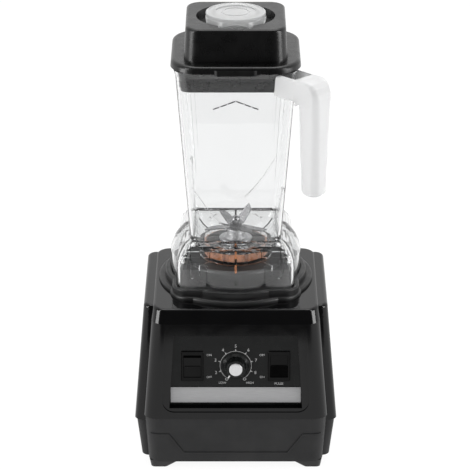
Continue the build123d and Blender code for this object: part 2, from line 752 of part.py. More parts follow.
def jar():
    body = jar_wall_solid(JAR_LOW_Z - 8, RIM_Z)
    rim = jar_rim_block()
    skirt = lobe_dome() + corner_skirt()
    collar = disc(NUT_R + 5.0, 224, 262)
    hollow = (lobe_dome(JAR_WALL) + corner_skirt(JAR_WALL)) - bowl(JAR_WALL) - collar
    hollow += disc(NUT_R + 3.0, 200, FLOOR_Z - FLOOR_THICK)
    drum_room = disc(DRUM_R + 1.5, 200, DRUM_Z + 2.0)
    within = lobe_dome(JAR_WALL / 2) + corner_skirt(JAR_WALL / 2)
    ribs = [rib & within for rib in skirt_ribs()]
    shell = skirt + body + rim - hollow
    for rib in ribs:
        shell += rib - drum_room - disc(NUT_R + 3.0, 200, FLOOR_Z - FLOOR_THICK)
    shell -= bowl(0.0)
    shell -= jar_wall_solid(JAR_LOW_Z - 0.01, RIM_Z + 1, JAR_WALL)
    shell -= disc(HUB_BORE_R, 200, 260)
    for side in range(4):
        shell += swirl_rib(side)
    shell += chevron()
    return shell


def diagonal(shape):
    """Turns a shape laid out along +X to the jar's front right corner."""
    return Rot(0, 0, -45) * shape


def handle_section(d, z, dip, thick, width, r):
    """A rounded section across the handle at distance d from the axis, facing along its run."""
    t = radians(dip)
    across = Plane(origin=(d, 0, z), x_dir=(0, 1, 0), z_dir=(cos(t), 0, -sin(t)))
    return across * RectangleRounded(width, thick, r)


def handle_sections():
    """Sections along the handle: the level root, the squared bend, then the tapering grip."""
    sections = [handle_section(d, ROOT_Z, 0, 25.0, 32.5, 3.0) for d in (70.0, GRIP_D - BEND_R - 6)]
    for i in range(BEND_STEPS + 1):
        share = i / BEND_STEPS
        t = radians(90 * share)
        d = GRIP_D - BEND_R + BEND_R * sin(t)
        z = ROOT_Z - BEND_R + BEND_R * cos(t)
        thick = 25.0 + 5.0 * share + 12.0 * sin(2 * t) ** 2
        sections.append(handle_section(d, z, 90 * share, thick, 32.5 - 6.0 * share, 3.0 + 5.0 * share))
    sections.append(handle_section(GRIP_D + 0.3, 375.0, 90, 27.5, 24.2, 8.0))
    sections.append(handle_section(GRIP_D + 0.5, GRIP_END_Z - 4, 90, 24.5, 21.0, 8.0))
    return sections


def jar_handle():
    """The open ended handle: an arched root on the jar's corner and a tapering grip."""
    arm = loft(handle_sections(), ruled=True)
    tip = disc(GRIP_TIP_R, GRIP_END_Z, GRIP_END_Z + 30)
    tip = fillet(top_edges(tip, GRIP_END_Z), GRIP_TIP_ROUND)
    arm = arm & (Pos(GRIP_D + 0.5, 0) * tip + block(60, 160, -30, 30, GRIP_END_Z + 29, 480))
    pocket = block(60, 104, -HANDLE_POCKET_HALF, HANDLE_POCKET_HALF, 438, 470)
    pocket = fillet(pocket.edges().filter_by(Axis.Z), 3.0)
    corner = Rot(0, 0, 45) * (jar_wall_solid(JAR_LOW_Z, RIM_Z + 5) + jar_rim_block())
    return diagonal(arm - pocket - corner)


def jar_rim_block():
    low = square(RIM_Z - 9, jar_half(RIM_Z - 9) - 0.5, JAR_R_RIM)
    high = square(RIM_Z, JAR_HALF_RIM + 1.4, JAR_R_RIM + 1.4)
    return between(low, high)


# ---------------------------------------------------------------- blade set


def blade_housing():
    """The steel bearing housing that passes through the jar's floor."""
    flange = disc(HUB_FLANGE_R, FLOOR_Z, FLOOR_Z + 2.5)
    flange = fillet(top_edges(flange, FLOOR_Z + 2.5), 1.2)
    neck = Pos(0, 0, FLOOR_Z + 2.5) * Cone(14, HUB_R, 5, align=BASE)
    barrel = disc(HUB_R, FLOOR_Z + 5, FLOOR_Z + 14)
    barrel = fillet(top_edges(barrel, FLOOR_Z + 14), 1.0)
    stem = disc(HUB_BORE_R - 0.05, 222, FLOOR_Z + 1)
    housing = flange + neck + barrel + stem
    housing -= disc(SPINDLE_R + 0.5, 200, 280)
    housing -= disc(8.0, 215, 229) + disc(8.0, FLOOR_Z + 4.5, FLOOR_Z + 12.0)
    return housing


def nut_gasket():
    """The flat sealing washer between the retainer nut and the jar's floor."""
    return tube(NUT_R - 3.0, HUB_BORE_R + 0.5, NUT_TOP_Z, FLOOR_Z - FLOOR_THICK)


def retainer_nut():
    """The wide flanged nut that clamps the bearing housing from below the jar's floor."""
    nut = disc(NUT_R, 225, NUT_TOP_Z)
    nut = fillet(top_edges(nut, 225), 2.0)
    for grip in around(10, Pos(NUT_R + 1.5, 0, 229) * Cylinder(4.0, 30)):
        nut -= grip
    nut -= disc(HUB_BORE_R, 200, 260)
    nut -= tube(24, 15, 220, 229)
    return nut


def shaft_seal():
    """The lip seal above the upper bearing."""
    return tube(7.9, SPINDLE_R + RUNNING, FLOOR_Z + 10.5, FLOOR_Z + 12.0)


def blade_shaft():
    """The spindle: round through the bearings, hexagonal where it enters the drive socket."""
    spindle = disc(SPINDLE_R, 220, SPINDLE_TOP)
    hexagon = extrude(Pos(0, 0, 204.5) * RegularPolygon(HEX_AF / 2, 6, major_radius=False), 16.5)
    return spindle + hexagon


def blade_pair(z, rise, droop, turn, reach):
    """Two opposite steel blades from one strip, bent up or down from a flat middle."""
    width, thick, flat = 11.0, 1.6, 9.0
    middle = Pos(0, 0, z) * Box(2 * flat, width, thick)
    pair = middle
    for side, angle in ((1, rise), (-1, droop)):
        run = reach - flat
        edge = [(0, -width / 2), (run * 0.75, -width / 2 + 0.5), (run, 2.0)]
        edge += [(run * 0.8, width / 2 - 2), (0, width / 2), (0, -width / 2)]
        wing = extrude(make_face(Polyline(edge)), thick / 2, both=True)
        wing = Rot(0, -angle, 0) * wing
        wing = Pos(flat - 0.4, 0, z) * wing
        pair += wing if side > 0 else Rot(0, 0, 180) * wing
    pair -= Pos(0, 0, z) * Cylinder(4.0, 20)
    return Rot(0, 0, turn) * pair


def blade_nut():
    """The domed nut on top of the blades."""
    nut = extrude(Pos(0, 0, SPINDLE_TOP) * RegularPolygon(6.5, 6), 4.5)
    dome = Pos(0, 0, SPINDLE_TOP + 4.5) * Sphere(4.8)
    dome = dome & disc(8, SPINDLE_TOP + 4, SPINDLE_TOP + 20)
    return nut + dome


# ---------------------------------------------------------------- lid and cap


def lid_tab():
    """The pull tab at the front of the flange."""
    y0, y1 = -FLANGE_HALF + 3, -FLANGE_HALF - 1.4
    points = [(-26, y0), (26, y0), (20, y1), (-20, y1)]
    tab = extrude(Pos(0, 0, RIM_Z - 1.5) * make_face(Polyline(points + [points[0]])), 6.0)
    return fillet(tab.edges().filter_by(Axis.Z).sort_by(Axis.Y)[:2], 3.0)


def lid():
    """The rubber lid: a wide flange, a tall square block with a dish, and a plug in the jar."""
    flange_low = square(RIM_Z, FLANGE_HALF - 0.5, FLANGE_R)
    flange = between(flange_low, square(FLANGE_Z, FLANGE_HALF - 1.2, FLANGE_R))
    flange = fillet(top_edges(flange, FLANGE_Z), 4.5)
    raised = between(square(FLANGE_Z - 2, BLOCK_LOW, BLOCK_R + 1), square(LID_TOP_Z, BLOCK_TOP, BLOCK_R))
    raised = fillet(top_edges(raised, LID_TOP_Z), 3.5)
    plug = jar_wall_solid(PLUG_Z, RIM_Z, JAR_WALL + PLUG_GAP)
    body = flange + raised + plug + lid_tab()
    inner = jar_half(PLUG_Z) - JAR_WALL - PLUG_GAP - 4.0
    body -= between(square(PLUG_Z - 1, inner, 9), square(FLANGE_Z - 4, BLOCK_LOW - 5, 12))
    core = between(square(FLANGE_Z - 4.5, BLOCK_LOW - 5, 12), square(DISH_Z - 6, BLOCK_TOP - 5, 12))
    body -= core - disc(HOLE_R + 4, 430, 520)
    body -= Pos(0, 0, DISH_Z) * Cone(DISH_R - 3, DISH_R, LID_TOP_Z - DISH_Z, align=BASE)
    notch = extrude(Pos(0, -33.5, DISH_Z + 2.5) * RectangleRounded(38, 30, 6), 20)
    return body - notch - disc(HOLE_R, 430, 520)


def lid_gasket():
    """The soft sealing ring round the lid's plug, just clear of the jar's wall."""
    z0, z1 = 441.0, 447.0
    return jar_wall_solid(z0, z1, JAR_WALL + 0.35) - jar_wall_solid(z0, z1, JAR_WALL + PLUG_GAP + 1.2)


def cap():
    """The clear measuring cap: a stepped round top, a cup open below, and four flared legs."""
    top = disc(CAP_R, CAP_TOP_Z - 4.5, CAP_TOP_Z)
    top = fillet(top.edges().filter_by(GeomType.CIRCLE), 1.3)
    flare = [(CAP_R - 3.4, CAP_TOP_Z - 2), (CAP_R - 0.9, CAP_TOP_Z - 2)]
    flare += [(CAP_R + 3.6, DISH_Z), (CAP_R + 1.0, DISH_Z)]
    legs = turned(flare)
    arch = Rot(90, 0, 0) * Pos(0, DISH_Z - 22.0, 0) * Cylinder(30, 100)
    legs -= arch + Rot(0, 0, 90) * arch
    cup = disc(CUP_R, CUP_LOW_Z, CAP_TOP_Z - 4)
    body = top + legs + cup
    body -= Pos(0, 0, CUP_LOW_Z) * Cone(CUP_R - 2.2, CUP_R - 3.8, CUP_DEPTH, align=BASE)
    body -= disc(CAP_RING_R, CAP_TOP_Z - 0.8, CAP_TOP_Z + 1)
    return body + tube(CAP_RING_R - 6.0, CAP_RING_R - 8.5, CAP_TOP_Z - 1.2, CAP_TOP_Z - 0.1)


def cap_seal():
    return tube(CUP_R + 0.28, CUP_R - 1.0, 486, 489)


# ---------------------------------------------------------------- assemble and write


def build():
    parts["lower_tray"] = lower_tray()
    parts["upper_housing"] = upper_housing()
    parts["jar_pad"] = jar_pad()
    parts["control_panel"] = control_panel()
    parts["nameplate"] = nameplate()
    parts["power_switch_body"] = at_switch(-SWITCH_X, switch_body())
    parts["pulse_switch_body"] = at_switch(SWITCH_X, switch_body())
    parts["power_rocker"] = at_switch(-SWITCH_X, rocker(ROCKER_TILT))
    parts["pulse_rocker"] = at_switch(SWITCH_X, rocker(-ROCKER_TILT))
    parts["speed_knob"] = at_knob(speed_knob() - knob_pointer())
    parts["knob_cap"] = at_knob(knob_cap())
    parts["knob_pointer"] = at_knob(knob_pointer())
    parts["pot_shaft"] = at_knob(pot_shaft())
    parts["potentiometer"] = at_knob(potentiometer())
    parts["speed_board"] = speed_board()
    parts["heat_sink"] = heat_sink()
    parts["circuit_breaker"] = circuit_breaker()
    parts["reset_button"] = reset_button()
    parts["cord_gland"] = cord_gland()
    for (x, y), name in zip(FOOT_SPOTS, ("front_left", "front_right", "back_left", "back_right")):
        parts["foot_" + name] = rubber_foot(x, y)
    parts["foot_screws"] = foot_screws()
    parts["housing_screws"] = housing_screws()
    parts["motor_shaft"] = motor_shaft()
    parts["drive_socket"] = drive_socket()
    parts["armature"] = armature()
    parts["commutator"] = commutator()
    parts["cooling_fan"] = cooling_fan()
    parts["upper_bearing"] = bearing(SHAFT_R + RUNNING, 15.0, 173, 182)
    parts["lower_bearing"] = bearing(SHAFT_R + RUNNING, 11.0, 80, 87)
    parts["motor_stator"] = motor_stator()
    parts["field_coils"] = field_coils()
    parts["motor_top_bracket"] = motor_top_bracket()
    parts["motor_bottom_bracket"] = motor_bottom_bracket()
    parts["through_bolts"] = through_bolts()
    parts["brush_holders"] = brush_holders()
    parts["fan_shroud"] = fan_shroud()
    parts["mount_screws"] = mount_screws()
    parts["bracket_grommets"] = bracket_grommets()
    parts["jar"] = jar()
    parts["jar_handle"] = jar_handle()
    parts["blade_housing"] = blade_housing()
    parts["retainer_nut"] = retainer_nut()
    parts["nut_gasket"] = nut_gasket()
    parts["shaft_seal"] = shaft_seal()
    parts["blade_bearing_upper"] = bearing(SPINDLE_R + RUNNING, 8.0, FLOOR_Z + 4.5, FLOOR_Z + 10.5)
    parts["blade_bearing_lower"] = bearing(SPINDLE_R + RUNNING, 8.0, 223, 229)
    parts["blade_shaft"] = blade_shaft()
    parts["blade_lower"] = blade_pair(FLOOR_Z + 15.2, -9, -9, -3, 36)
    parts["blade_middle"] = blade_pair(FLOOR_Z + 16.9, 10, 10, 117, 38)
    parts["blade_upper"] = blade_pair(FLOOR_Z + 18.6, 32, 26, 57, 36)
    parts["blade_nut"] = blade_nut()
    parts["lid"] = lid() - lid_gasket()
    parts["lid_gasket"] = lid_gasket()
    parts["cap"] = cap() - cap_seal()
    parts["cap_seal"] = cap_seal()


def write():
    os.makedirs("parts", exist_ok=True)
    for old in os.listdir("parts"):
        os.remove(os.path.join("parts", old))
    for name, shape in parts.items():
        if isinstance(shape, list):
            solids = []
            for one in shape:
                solids.extend(one.solids())
            shape = Compound(children=[Solid(solid.wrapped) for solid in solids])
        export_step(shape, os.path.join("parts", name + ".step"))


build()
write()
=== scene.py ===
import json

import bmesh
import bpy
from math import cos, pi, radians, sin
from mathutils import Matrix, Vector


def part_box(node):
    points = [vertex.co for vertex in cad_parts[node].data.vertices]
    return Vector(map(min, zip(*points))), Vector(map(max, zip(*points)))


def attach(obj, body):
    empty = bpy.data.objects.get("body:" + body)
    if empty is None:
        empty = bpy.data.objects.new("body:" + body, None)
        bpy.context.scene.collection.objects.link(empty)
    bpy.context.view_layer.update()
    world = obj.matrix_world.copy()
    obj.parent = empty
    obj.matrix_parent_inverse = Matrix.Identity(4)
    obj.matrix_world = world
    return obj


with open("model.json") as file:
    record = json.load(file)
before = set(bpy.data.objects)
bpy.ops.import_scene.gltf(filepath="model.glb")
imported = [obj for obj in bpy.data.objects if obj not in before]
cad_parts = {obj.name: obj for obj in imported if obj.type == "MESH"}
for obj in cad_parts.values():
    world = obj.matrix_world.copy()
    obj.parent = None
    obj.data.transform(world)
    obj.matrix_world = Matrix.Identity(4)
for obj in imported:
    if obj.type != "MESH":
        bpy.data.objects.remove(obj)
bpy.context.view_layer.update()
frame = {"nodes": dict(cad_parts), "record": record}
NODES = frame["nodes"]

MM = 0.001

# ------------------------------------------------------------------ camera

CAMERA_AT = (0.0, -2.4, 1.23492)
CAMERA_PITCH = 22.4347
CAMERA_LENS = 174.2
CAMERA_SHIFT = -0.0015

# ------------------------------------------------------------------ the panel's place

PANEL_TILT = radians(3.0)
knob_low, knob_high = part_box("speed_knob")
panel_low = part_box("control_panel")[0]
PANEL_FACE = Vector((0, panel_low.y, panel_low.z))


def on_panel(x, up, out=0.0):
    """A point x right of the panel's middle, up from its lower edge and out from its face, in mm."""
    up_axis = Vector((0, sin(PANEL_TILT), cos(PANEL_TILT)))
    out_axis = Vector((0, -cos(PANEL_TILT), sin(PANEL_TILT)))
    return PANEL_FACE + Vector((x * MM, 0, 0)) + up_axis * up * MM + out_axis * out * MM


PANEL_TURN = Matrix.Rotation(radians(90) - PANEL_TILT, 4, "X")

# ------------------------------------------------------------------ material helpers


def new_material(name):
    m = bpy.data.materials.new(name)
    m.use_nodes = True
    tree = m.node_tree
    return m, tree, tree.nodes["Principled BSDF"]


def spread(tree, scale, detail=3.0, stretch=None, rough=0.5):
    """A noise pattern in the piece's own space, in cells per metre, stretched along an axis if asked."""
    coords = tree.nodes.new("ShaderNodeTexCoord")
    source = coords.outputs["Object"]
    if stretch:
        mapping = tree.nodes.new("ShaderNodeMapping")
        mapping.inputs["Scale"].default_value = stretch
        tree.links.new(source, mapping.inputs["Vector"])
        source = mapping.outputs["Vector"]
    noise = tree.nodes.new("ShaderNodeTexNoise")
    noise.inputs["Scale"].default_value = scale
    noise.inputs["Detail"].default_value = detail
    noise.inputs["Roughness"].default_value = rough
    tree.links.new(source, noise.inputs["Vector"])
    return noise.outputs["Fac"]


def ranged(tree, source, low, high, start=0.3, end=0.7):
    """The pattern's values between start and end, spread from low to high."""
    node = tree.nodes.new("ShaderNodeMapRange")
    node.inputs["From Min"].default_value = start
    node.inputs["From Max"].default_value = end
    node.inputs["To Min"].default_value = low
    node.inputs["To Max"].default_value = high
    tree.links.new(source, node.inputs["Value"])
    return node.outputs["Result"]


def tint(tree, source, dark, light, start=0.35, end=0.65):
    """A colour that runs from dark to light with the pattern."""
    ramp = tree.nodes.new("ShaderNodeValToRGB")
    ramp.color_ramp.elements[0].position = start
    ramp.color_ramp.elements[1].position = end
    ramp.color_ramp.elements[0].color = (*dark, 1)
    ramp.color_ramp.elements[1].color = (*light, 1)
    tree.links.new(source, ramp.inputs["Fac"])
    return ramp.outputs["Color"]


def bumped(tree, shader, source, strength, distance):
    """Raises the surface by the pattern, up to distance in metres."""
    bump = tree.nodes.new("ShaderNodeBump")
    bump.inputs["Strength"].default_value = strength
    bump.inputs["Distance"].default_value = distance
    tree.links.new(source, bump.inputs["Height"])
    tree.links.new(bump.outputs["Normal"], shader.inputs["Normal"])


def plastic(name, dark, light, rough, grain, depth, patch=35.0, ior=1.5):
    """Moulded plastic or rubber: a faint colour drift, uneven roughness and a fine surface grain."""
    m, tree, shader = new_material(name)
    drift = spread(tree, patch, 4.0)
    tree.links.new(tint(tree, drift, dark, light), shader.inputs["Base Color"])
    tree.links.new(ranged(tree, spread(tree, patch * 2.3, 5.0), *rough), shader.inputs["Roughness"])
    bumped(tree, shader, spread(tree, grain, 2.0), 0.35, depth)
    shader.inputs["IOR"].default_value = ior
    return m


def metal(name, dark, light, rough, stretch, grain, depth, anisotropy=0.0):
    """Brushed or machined metal: fine scratches along one direction and uneven roughness."""
    m, tree, shader = new_material(name)
    lines = spread(tree, grain, 3.0, stretch)
    tree.links.new(tint(tree, lines, dark, light, 0.3, 0.7), shader.inputs["Base Color"])
    tree.links.new(ranged(tree, lines, *rough), shader.inputs["Roughness"])
    bumped(tree, shader, lines, 0.3, depth)
    shader.inputs["Metallic"].default_value = 1.0
    shader.inputs["Anisotropic"].default_value = anisotropy
    return m


def clear(name, tone, rough, ior, haze_scale, bump_depth, weight=1.0):
    """Transparent plastic, with a faint flow pattern in its roughness and surface."""
    m, tree, shader = new_material(name)
    shader.inputs["Transmission Weight"].default_value = weight
    shader.inputs["IOR"].default_value = ior
    flow = spread(tree, haze_scale, 3.0)
    light = tuple(min(1.0, c * 1.012) for c in tone)
    tree.links.new(tint(tree, flow, tone, light), shader.inputs["Base Color"])
    tree.links.new(ranged(tree, flow, *rough), shader.inputs["Roughness"])
    bumped(tree, shader, spread(tree, haze_scale * 1.7, 1.0), 0.25, bump_depth)
    return m


GLOSS_BLACK = plastic(
    "gloss_black", (0.0016, 0.0016, 0.0018), (0.0028, 0.0028, 0.003), (0.06, 0.12),
    grain=900, depth=0.00002, patch=22, ior=1.37,
)
TRAY_BLACK = plastic(
    "tray_black", (0.0125, 0.0125, 0.013), (0.0175, 0.0175, 0.018), (0.46, 0.58),
    grain=2600, depth=0.00012, ior=1.36,
)
RUBBER = plastic(
    "rubber", (0.0065, 0.0065, 0.0067), (0.0105, 0.0105, 0.0108), (0.34, 0.48),
    grain=1500, depth=0.00008, patch=45, ior=1.44,
)
LID_RUBBER = plastic(
    "lid_rubber", (0.0022, 0.0022, 0.0023), (0.0042, 0.0042, 0.0043), (0.24, 0.34),
    grain=1100, depth=0.00004, patch=40, ior=1.44,
)
PANEL_FILM = plastic(
    "panel_film", (0.0022, 0.0026, 0.0026), (0.0042, 0.0046, 0.0046), (0.24, 0.34),
    grain=3200, depth=0.00003, ior=1.3,
)
SWITCH_BLACK = plastic(
    "switch_black", (0.0018, 0.0018, 0.0018), (0.0034, 0.0034, 0.0034), (0.16, 0.26),
    grain=2000, depth=0.00003, ior=1.22,
)
KNOB_BLACK = plastic(
    "knob_black", (0.0028, 0.0034, 0.0034), (0.0052, 0.006, 0.006), (0.2, 0.3),
    grain=2000, depth=0.00003, ior=1.36,
)
INNER_BLACK = plastic(
    "inner_black", (0.02, 0.02, 0.02), (0.03, 0.03, 0.03), (0.4, 0.55),
    grain=1500, depth=0.0001,
)
PRINT_WHITE = plastic(
    "print_white", (0.4, 0.4, 0.4), (0.47, 0.47, 0.47), (0.45, 0.6),
    grain=3000, depth=0.00002,
)
MARK_WHITE = plastic(
    "mark_white", (0.66, 0.66, 0.66), (0.74, 0.74, 0.74), (0.35, 0.45),
    grain=2000, depth=0.00002,
)
FILL_MARK = plastic(
    "fill_mark", (0.05, 0.05, 0.052), (0.1, 0.1, 0.105), (0.4, 0.55),
    grain=2500, depth=0.00003, patch=300,
)
# Painted highlight: light grey strips that stand in for the light caught by the jar's clear swirl ribs
# and inner corners.
PAINTED_HIGHLIGHT_LINE = plastic(
    "painted_highlight_line", (0.33, 0.33, 0.335), (0.5, 0.5, 0.505), (0.3, 0.5),
    grain=1500, depth=0.00003, patch=120,
)
BROWN = plastic(
    "brown_nut", (0.2, 0.065, 0.02), (0.33, 0.12, 0.043), (0.28, 0.42),
    grain=900, depth=0.0001, patch=120,
)
BOARD = plastic(
    "board_green", (0.012, 0.08, 0.035), (0.02, 0.12, 0.05), (0.3, 0.4),
    grain=900, depth=0.00005,
)
SILVER = metal(
    "plate_silver", (0.33, 0.33, 0.335), (0.44, 0.44, 0.445), (0.42, 0.55),
    stretch=(1.2, 60.0, 60.0), grain=90, depth=0.00003, anisotropy=0.4,
)
CAP_SILVER = metal(
    "knob_silver", (0.66, 0.66, 0.665), (0.8, 0.8, 0.805), (0.3, 0.42),
    stretch=(30.0, 30.0, 30.0), grain=60, depth=0.00001,
)
BLADE_STEEL = metal(
    "blade_steel", (0.16, 0.16, 0.165), (0.36, 0.36, 0.365), (0.12, 0.26),
    stretch=(1.0, 1.0, 14.0), grain=220, depth=0.00003,
)
STEEL = metal(
    "machined_steel", (0.3, 0.3, 0.305), (0.46, 0.46, 0.465), (0.2, 0.34),
    stretch=(1.0, 1.0, 25.0), grain=160, depth=0.00003,
)
ALLOY = metal(
    "cast_alloy", (0.45, 0.45, 0.46), (0.55, 0.55, 0.56), (0.35, 0.5),
    stretch=(1.0, 1.0, 1.0), grain=900, depth=0.0001,
)
IRON = metal(
    "laminated_iron", (0.1, 0.1, 0.105), (0.2, 0.2, 0.205), (0.35, 0.5),
    stretch=(1.0, 1.0, 90.0), grain=60, depth=0.0001,
)
COPPER = metal(
    "copper_wire", (0.5, 0.2, 0.08), (0.75, 0.36, 0.18), (0.2, 0.35),
    stretch=(1.0, 1.0, 30.0), grain=120, depth=0.0001,
)
CLEAR = clear(
    "clear_plastic", (0.905, 0.909, 0.91), (0.0, 0.02),
    ior=1.49, haze_scale=26, bump_depth=0.00004,
)
CAP_CLEAR = clear(
    "cap_clear", (0.64, 0.645, 0.645), (0.12, 0.24),
    ior=1.49, haze_scale=90, bump_depth=0.00012, weight=0.55,
)
FROSTED = clear(
    "frosted_plastic", (0.83, 0.832, 0.834), (0.3, 0.42),
    ior=1.4, haze_scale=60, bump_depth=0.00005, weight=0.35,
)

FINISH = {
    "base_gloss_black": GLOSS_BLACK,
    "tray_matte_black": TRAY_BLACK,
    "rubber_black": RUBBER,
    "panel_black": PANEL_FILM,
    "plate_silver": SILVER,
    "switch_black": SWITCH_BLACK,
    "knob_black": KNOB_BLACK,
    "knob_silver": CAP_SILVER,
    "mark_white": MARK_WHITE,
    "clear_plastic": CLEAR,
    "frosted_plastic": FROSTED,
    "blade_steel": BLADE_STEEL,
    "nut_brown": BROWN,
    "steel": STEEL,
    "copper": COPPER,
    "iron": IRON,
    "alloy": ALLOY,
    "board_green": BOARD,
    "plastic_black": INNER_BLACK,
}
OWN_FINISH = {
    "lid": LID_RUBBER,
    "lid_gasket": LID_RUBBER,
    "cap": CAP_CLEAR,
    "blade_housing": ALLOY,
}

for part in frame["record"]["subparts"]:
    node = NODES[part["node"]]
    node.data.materials.clear()
    node.data.materials.append(OWN_FINISH.get(part["node"], FINISH[part["material_slot"]]))

# ------------------------------------------------------------------ light through the clear pieces

for name in ("jar", "cap"):
    NODES[name].visible_shadow = False

# ------------------------------------------------------------------ pieces drawn on the panel


def flat_mesh(name, body, material, matrix):
    """An empty mesh piece in its place, to be filled by the caller."""
    mesh = bpy.data.meshes.new(name)
    obj = bpy.data.objects.new(name, mesh)
    bpy.context.scene.collection.objects.link(obj)
    obj.matrix_world = matrix
    mesh.materials.append(material)
    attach(obj, body)
    return obj


def ring_faces(bm, centre, r0, r1, a0, a1, steps):
    """A flat ring or arc between two radii and two angles."""
    inner, outer = [], []
    for i in range(steps + 1):
        a = a0 + (a1 - a0) * i / steps
        inner.append(bm.verts.new((centre[0] + r0 * cos(a), centre[1] + r0 * sin(a), 0)))
        outer.append(bm.verts.new((centre[0] + r1 * cos(a), centre[1] + r1 * sin(a), 0)))
    for i in range(steps):
        bm.faces.new((inner[i], outer[i], outer[i + 1], inner[i + 1]))


def thicken(bm, depth):
    """Makes flat faces into a thin closed layer."""
    faces = list(bm.faces)
    made = bmesh.ops.extrude_face_region(bm, geom=faces)
    moved = [v for v in made["geom"] if isinstance(v, bmesh.types.BMVert)]
    bmesh.ops.translate(bm, vec=(0, 0, depth), verts=moved)
    bmesh.ops.recalc_face_normals(bm, faces=bm.faces)


PRINT_DEPTH = 0.00006
KNOB_UP = (knob_low.z + knob_high.z) / 2
DIAL_RAISE = 0.2
PRINT_LIFT = 0.02
dial_up = (Vector((0, 0, KNOB_UP)) - PANEL_FACE).z / cos(PANEL_TILT) / MM + DIAL_RAISE
PANEL_MATRIX = Matrix.Translation(on_panel(0, dial_up, PRINT_LIFT)) @ PANEL_TURN

DIAL_R = 17.6 * MM
DIAL_STEPS = 8
DIAL_GAP = radians(32)
DIAL_LINE = 0.22 * MM
DIAL_OVERRUN = 0.13
END_CIRCLE_OUT = 1.4 * MM
END_CIRCLE_R = (1.25 * MM, 1.75 * MM)
TICK_LENGTH = 3.0 * MM
TICK_HALF_WIDTH = 0.9 * MM


def dial_angle(step):
    """The direction of a dial mark, counted clockwise from the lowest setting."""
    start = -pi / 2 - DIAL_GAP
    return start - step * (2 * pi - 2 * DIAL_GAP) / DIAL_STEPS


dial = flat_mesh("dial_print", "base", PRINT_WHITE, PANEL_MATRIX)
bm = bmesh.new()
arc_start = dial_angle(0) - DIAL_OVERRUN
arc_end = dial_angle(DIAL_STEPS) + DIAL_OVERRUN
ring_faces(bm, (0, 0), DIAL_R - DIAL_LINE, DIAL_R + DIAL_LINE, arc_start, arc_end, 96)
for step in range(DIAL_STEPS + 1):
    a = dial_angle(step)
    if step in (0, DIAL_STEPS):
        spot = ((DIAL_R + END_CIRCLE_OUT) * cos(a), (DIAL_R + END_CIRCLE_OUT) * sin(a))
        ring_faces(bm, spot, *END_CIRCLE_R, 0, 2 * pi, 24)
    else:
        out = Vector((cos(a), sin(a), 0))
        side = Vector((-sin(a), cos(a), 0))
        tip = out * (DIAL_R + TICK_LENGTH)
        root = out * DIAL_R
        corners = (root + side * TICK_HALF_WIDTH, root - side * TICK_HALF_WIDTH, tip)
        bm.faces.new([bm.verts.new(c) for c in corners])
thicken(bm, PRINT_DEPTH)
bm.to_mesh(dial.data)
bm.free()


def label(name, text, x, y, size):
    """Printed text on the panel, centred at x, y from the dial's middle, in mm."""
    curve = bpy.data.curves.new(name, "FONT")
    curve.body = text
    curve.size = size * MM
    curve.align_x = "CENTER"
    curve.align_y = "CENTER"
    curve.extrude = PRINT_DEPTH / 2
    curve.resolution_u = 3
    obj = bpy.data.objects.new(name, curve)
    bpy.context.scene.collection.objects.link(obj)
    obj.matrix_world = PANEL_MATRIX @ Matrix.Translation((x * MM, y * MM, PRINT_DEPTH / 2))
    curve.materials.append(PRINT_WHITE)
    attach(obj, "base")


NUMBER_REACH = 23.6
NUMBER_SIZE = 5.2

for step in range(1, DIAL_STEPS):
    a = dial_angle(step)
    spot = (NUMBER_REACH * cos(a), NUMBER_REACH * sin(a))
    label("dial_number_%d" % (step + 1), str(step + 1), *spot, NUMBER_SIZE)

SWITCH_X = 48.6
WORD_X = SWITCH_X - 18.9
WORD_UP, WORD_DOWN = 12.8, -13.8
WORD_SIZE = 3.6

# name, text, x, y and letter size
WORDS = (
    ("label_power_on", "ON", -WORD_X, WORD_UP, WORD_SIZE),
    ("label_power_off", "OFF", -WORD_X, WORD_DOWN, WORD_SIZE),
    ("label_pulse_off", "OFF", WORD_X, WORD_UP, WORD_SIZE),
    ("label_pulse_on", "ON", WORD_X, WORD_DOWN, WORD_SIZE),
    ("label_pulse", "PULSE", SWITCH_X, -21.8, 3.8),
    ("label_low", "LOW", -15.0, -20.8, WORD_SIZE),
    ("label_high", "HIGH", 16.0, -20.8, WORD_SIZE),
)
for word in WORDS:
    label(*word)

# ------------------------------------------------------------------ the jar's fill mark, and painted highlight lines along its swirl ribs and inner corners

WALL_HEIGHT = 0.198
RIM_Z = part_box("jar")[1].z
LOW_Z = RIM_Z - WALL_HEIGHT
RIM_HALF = 0.0664
LOW_HALF = 0.0514
STRIP_DEPTH = 0.00025


def wall_half(z):
    """The jar's outer half width at a height."""
    return LOW_HALF + (z - LOW_Z) / (RIM_Z - LOW_Z) * (RIM_HALF - LOW_HALF)


def wall_strip(name, path, width, out, material, turn=0.0, taper=1.0):
    """A thin raised strip along a path of (x, z) points on the jar's wall, out from its outer face."""
    mesh = bpy.data.meshes.new(name)
    obj = bpy.data.objects.new(name, mesh)
    bpy.context.scene.collection.objects.link(obj)
    bm = bmesh.new()
    rows = []
    count = len(path) - 1
    for i, (x, z) in enumerate(path):
        before = Vector(path[max(i - 1, 0)])
        after = Vector(path[min(i + 1, count)])
        along = (after - before).normalized()
        share = taper + (1 - taper) * sin(pi * (i + 0.5) / (count + 1))
        side = Vector((-along.y, along.x)) * width / 2 * share
        row = []
        for sign, lift in ((1, 0.0), (1, STRIP_DEPTH), (-1, STRIP_DEPTH), (-1, 0.0)):
            px, pz = x + side.x * sign, z + side.y * sign
            row.append(bm.verts.new((px, -wall_half(pz) - out - lift, pz)))
        rows.append(row)
    for low, high in zip(rows, rows[1:]):
        for k in range(4):
            bm.faces.new((low[k], low[(k + 1) % 4], high[(k + 1) % 4], high[k]))
    bm.faces.new(rows[0])
    bm.faces.new(list(reversed(rows[-1])))
    bmesh.ops.recalc_face_normals(bm, faces=bm.faces)
    bmesh.ops.rotate(bm, cent=(0, 0, 0), matrix=Matrix.Rotation(turn, 3, "Z"), verts=bm.verts)
    bm.to_mesh(mesh)
    bm.free()
    mesh.materials.append(material)
    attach(obj, "jar")


